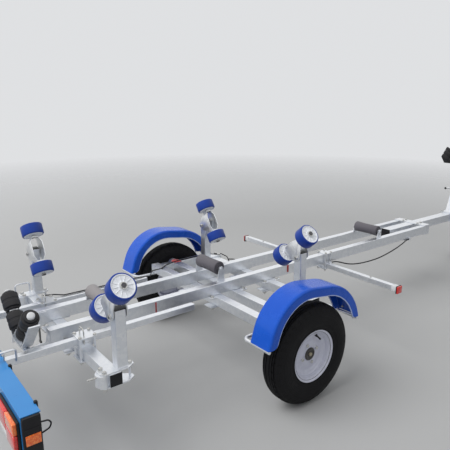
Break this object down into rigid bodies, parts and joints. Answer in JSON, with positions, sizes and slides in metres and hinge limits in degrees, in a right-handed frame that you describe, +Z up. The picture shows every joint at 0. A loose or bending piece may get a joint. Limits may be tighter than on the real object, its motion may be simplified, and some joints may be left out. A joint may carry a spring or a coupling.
{
  "type": "boat trailer",
  "caption": "Single-axle boat trailer: twin rails, tilting blue roller pairs on posts, rear V cradle, keel rollers, winch post, ball coupling, jockey wheel and light board.",
  "frame": {"origin": "on the ground, midway along and across the trailer", "axes": "+X towards the coupling, +Y to the left side, +Z up"},
  "size_m": [4.345, 1.366, 1.134],
  "materials": {
    "galvanised": "hot-dip galvanised, fresh and bright",
    "zinc": "zinc plated",
    "black_plastic": "moulded",
    "black_rubber": "moulded",
    "grey_rubber": "moulded",
    "tyre": "new",
    "rim_paint": "silver grey paint",
    "blue_plastic": "glossy",
    "blue_paint": "satin paint",
    "roller_blue": "smooth",
    "lamp_red": "lens",
    "reflector_red": "lens"
  },
  "bodies": {
    "frame": {"rail_left": "galvanised", "rail_right": "galvanised", "rear_cross_tube": "galvanised", "middle_cross_tube": "galvanised", "axle_beam": "galvanised", "front_cross_tube": "galvanised", "drawbar": "galvanised", "drawbar_clamps": "galvanised", "tube_caps": "black_plastic", "axle_arms": "galvanised", "light_arms": "galvanised", "arm_clamps": "galvanised", "marker_arm": "galvanised", "marker_reflectors": "reflector_red", "mudguard_left": "blue_plastic", "mudguard_right": "blue_plastic", "mudguard_stays": "galvanised", "roller_posts": "galvanised", "post_clamps": "galvanised", "side_members": "galvanised", "front_cable": "black_rubber", "keel_brackets": "galvanised", "cradle_mount": "galvanised", "light_board": "blue_paint", "tail_lamps": "lamp_red", "winch_post": "galvanised", "winch_frame": "zinc", "bow_stop": "black_rubber", "coupling": "zinc", "jockey_tube": "zinc"},
    "wheel_left": {"tyre_left": "tyre", "rim_left": "rim_paint"},
    "wheel_right": {"tyre_right": "tyre", "rim_right": "rim_paint"},
    "rocker_rear_left": {"rocker_rear_left": "galvanised"},
    "roller_rear_left_outer": {"roller_rear_left_outer": "roller_blue"},
    "roller_rear_left_inner": {"roller_rear_left_inner": "roller_blue"},
    "rocker_rear_right": {"rocker_rear_right": "galvanised"},
    "roller_rear_right_outer": {"roller_rear_right_outer": "roller_blue"},
    "roller_rear_right_inner": {"roller_rear_right_inner": "roller_blue"},
    "rocker_front_left": {"rocker_front_left": "galvanised"},
    "roller_front_left_outer": {"roller_front_left_outer": "roller_blue"},
    "roller_front_left_inner": {"roller_front_left_inner": "roller_blue"},
    "rocker_front_right": {"rocker_front_right": "galvanised"},
    "roller_front_right_outer": {"roller_front_right_outer": "roller_blue"},
    "roller_front_right_inner": {"roller_front_right_inner": "roller_blue"},
    "front_keel_roller": {"front_keel_roller": "grey_rubber"},
    "middle_keel_roller": {"middle_keel_roller": "grey_rubber"},
    "rear_keel_roller": {"rear_keel_roller": "grey_rubber"},
    "cradle": {"cradle": "galvanised"},
    "cradle_roller_left_lower": {"cradle_roller_left_lower": "black_rubber"},
    "cradle_roller_left_upper": {"cradle_roller_left_upper": "black_rubber"},
    "cradle_roller_right_lower": {"cradle_roller_right_lower": "black_rubber"},
    "cradle_roller_right_upper": {"cradle_roller_right_upper": "black_rubber"},
    "winch_drum": {"winch_drum": "zinc"},
    "jockey_leg": {"jockey_leg": "zinc"},
    "jockey_fork": {"jockey_fork": "zinc"},
    "jockey_wheel": {"jockey_wheel": "black_rubber"},
    "jockey_crank": {"jockey_crank": "zinc"}
  },
  "joints": [
    {"name": "wheel_left_spin", "type": "hinge", "parent": "frame", "child": "wheel_left", "pos_m": [-0.8275, 0.615, 0.2525], "axis": [0, 1, 0], "continuous": true},
    {"name": "wheel_right_spin", "type": "hinge", "parent": "frame", "child": "wheel_right", "pos_m": [-0.8275, -0.615, 0.2525], "axis": [0, 1, 0], "continuous": true},
    {"name": "rocker_rear_left_tilt", "type": "hinge", "parent": "frame", "child": "rocker_rear_left", "pos_m": [-1.7275, 0.478, 0.648], "axis": [1, 0, 0], "range_deg": [-53, 7]},
    {"name": "roller_rear_left_outer_spin", "type": "hinge", "parent": "rocker_rear_left", "child": "roller_rear_left_outer", "pos_m": [-1.7275, 0.47719, 0.76937], "axis": [0, 0.5299, 0.848], "continuous": true},
    {"name": "roller_rear_left_inner_spin", "type": "hinge", "parent": "rocker_rear_left", "child": "roller_rear_left_inner", "pos_m": [-1.7275, 0.36856, 0.59552], "axis": [0, 0.5299, 0.848], "continuous": true},
    {"name": "rocker_rear_right_tilt", "type": "hinge", "parent": "frame", "child": "rocker_rear_right", "pos_m": [-1.7275, -0.478, 0.648], "axis": [1, 0, 0], "range_deg": [-25, 35]},
    {"name": "roller_rear_right_outer_spin", "type": "hinge", "parent": "rocker_rear_right", "child": "roller_rear_right_outer", "pos_m": [-1.7275, -0.51474, 0.76368], "axis": [0, 0.766, -0.6428], "continuous": true},
    {"name": "roller_rear_right_inner_spin", "type": "hinge", "parent": "rocker_rear_right", "child": "roller_rear_right_inner", "pos_m": [-1.7275, -0.3577, 0.63191], "axis": [0, 0.766, -0.6428], "continuous": true},
    {"name": "rocker_front_left_tilt", "type": "hinge", "parent": "frame", "child": "rocker_front_left", "pos_m": [-0.6745, 0.412, 0.648], "axis": [1, 0, 0], "range_deg": [-51, 9]},
    {"name": "roller_front_left_outer_spin", "type": "hinge", "parent": "rocker_front_left", "child": "roller_front_left_outer", "pos_m": [-0.6745, 0.41543, 0.76932], "axis": [0, 0.5592, 0.829], "continuous": true},
    {"name": "roller_front_left_inner_spin", "type": "hinge", "parent": "rocker_front_left", "child": "roller_front_left_inner", "pos_m": [-0.6745, 0.3008, 0.59937], "axis": [0, 0.5592, 0.829], "continuous": true},
    {"name": "rocker_front_right_tilt", "type": "hinge", "parent": "frame", "child": "rocker_front_right", "pos_m": [-0.6745, -0.412, 0.648], "axis": [1, 0, 0], "range_deg": [-24, 36]},
    {"name": "roller_front_right_outer_spin", "type": "hinge", "parent": "rocker_front_right", "child": "roller_front_right_outer", "pos_m": [-0.6745, -0.44671, 0.7643], "axis": [0, 0.7547, -0.6561], "continuous": true},
    {"name": "roller_front_right_inner_spin", "type": "hinge", "parent": "rocker_front_right", "child": "roller_front_right_inner", "pos_m": [-0.6745, -0.292, 0.62981], "axis": [0, 0.7547, -0.6561], "continuous": true},
    {"name": "front_keel_roller_spin", "type": "hinge", "parent": "frame", "child": "front_keel_roller", "pos_m": [0.4425, 0, 0.532], "axis": [0, 1, 0], "continuous": true},
    {"name": "middle_keel_roller_spin", "type": "hinge", "parent": "frame", "child": "middle_keel_roller", "pos_m": [-0.9475, 0, 0.556], "axis": [0, 1, 0], "continuous": true},
    {"name": "rear_keel_roller_spin", "type": "hinge", "parent": "frame", "child": "rear_keel_roller", "pos_m": [-1.5925, 0, 0.53], "axis": [0, 1, 0], "continuous": true},
    {"name": "cradle_tilt", "type": "hinge", "parent": "frame", "child": "cradle", "pos_m": [-1.9525, 0, 0.396], "axis": [0, 1, 0], "range_deg": [-18, 14]},
    {"name": "cradle_roller_left_lower_spin", "type": "hinge", "parent": "cradle", "child": "cradle_roller_left_lower", "pos_m": [-1.9525, 0.064, 0.487], "axis": [0, 0.682, 0.7314], "continuous": true},
    {"name": "cradle_roller_left_upper_spin", "type": "hinge", "parent": "cradle", "child": "cradle_roller_left_upper", "pos_m": [-1.9525, 0.12743, 0.55502], "axis": [0, 0.682, 0.7314], "continuous": true},
    {"name": "cradle_roller_right_lower_spin", "type": "hinge", "parent": "cradle", "child": "cradle_roller_right_lower", "pos_m": [-1.9525, -0.064, 0.487], "axis": [0, -0.682, 0.7314], "continuous": true},
    {"name": "cradle_roller_right_upper_spin", "type": "hinge", "parent": "cradle", "child": "cradle_roller_right_upper", "pos_m": [-1.9525, -0.12743, 0.55502], "axis": [0, -0.682, 0.7314], "continuous": true},
    {"name": "winch_drum_turn", "type": "hinge", "parent": "frame", "child": "winch_drum", "pos_m": [1.77565, 0, 1.088], "axis": [0, 1, 0], "continuous": true},
    {"name": "jockey_leg_slide", "type": "slide", "parent": "frame", "child": "jockey_leg", "axis": [0, 0, 1], "range_m": [-0.12, 0.06]},
    {"name": "jockey_fork_swivel", "type": "hinge", "parent": "jockey_leg", "child": "jockey_fork", "pos_m": [1.9225, 0.085, 0.218], "axis": [0, 0, 1], "continuous": true},
    {"name": "jockey_wheel_spin", "type": "hinge", "parent": "jockey_fork", "child": "jockey_wheel", "pos_m": [1.9825, 0.085, 0.1], "axis": [0, 1, 0], "continuous": true},
    {"name": "jockey_crank_turn", "type": "hinge", "parent": "frame", "child": "jockey_crank", "pos_m": [1.9225, 0.085, 0.652], "axis": [0, 0, 1], "continuous": true}
  ]
}
